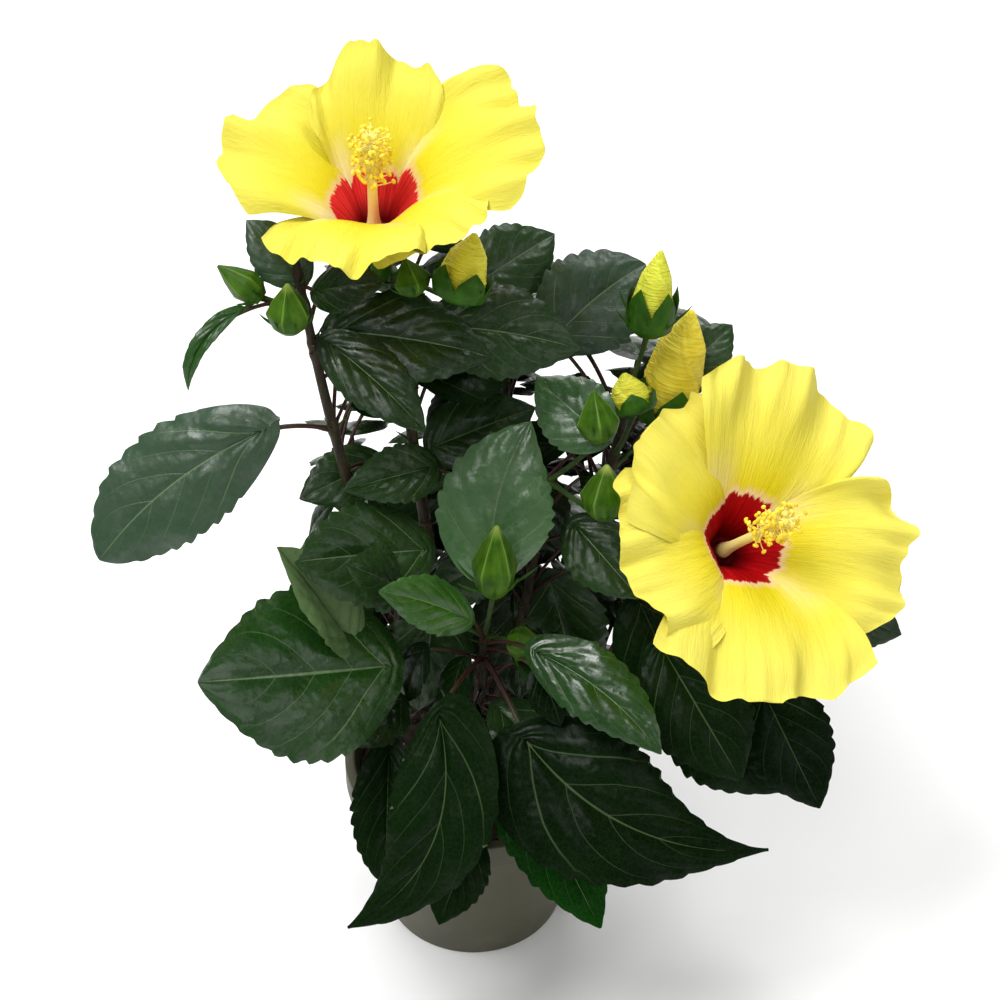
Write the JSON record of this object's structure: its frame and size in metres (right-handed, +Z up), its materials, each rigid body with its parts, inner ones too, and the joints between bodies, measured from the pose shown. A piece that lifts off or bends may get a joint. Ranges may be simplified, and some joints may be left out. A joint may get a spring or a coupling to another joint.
{
  "type": "potted hibiscus shrub",
  "caption": "Small potted hibiscus shrub: upright stems with dark, toothed, pointed leaves, buds, and wide open yellow blooms with a crimson eye.",
  "frame": {"origin": "centre of the pot's flat underside", "axes": "+Z up; -Y is the side both open blooms are seen from; +X to the right of that view"},
  "size_m": [0.3279, 0.2418, 0.4256],
  "materials": {
    "pot": "satin olive-brown moulded plastic",
    "soil": "rough dark potting soil",
    "bark": "matt brown bark with fine lengthwise relief",
    "leaf": "dark green leaf with a soft sheen and paler veins",
    "petal": "soft yellow petal with a crimson eye",
    "column": "cream column with golden anthers"
  },
  "bodies": {
    "root": {"pot": "pot", "soil": "soil", "trunk": "bark", "bough_left": "bark", "bough_upper": "bark", "bough_front": "bark", "bough_right_top": "bark", "bough_right": "bark", "bough_left_low": "bark", "bough_centre": "bark", "bough_back": "bark", "bough_back_left": "bark", "bough_back_right": "bark", "mass_left": "leaf", "mass_upper": "leaf", "mass_front": "leaf", "mass_right_top": "leaf", "mass_right": "leaf", "mass_left_low": "leaf", "mass_centre": "leaf", "mass_back": "leaf", "mass_back_left": "leaf", "mass_back_right": "leaf", "corolla_a": "petal", "corolla_b": "petal", "column_a": "column", "column_b": "column"}
  },
  "joints": []
}
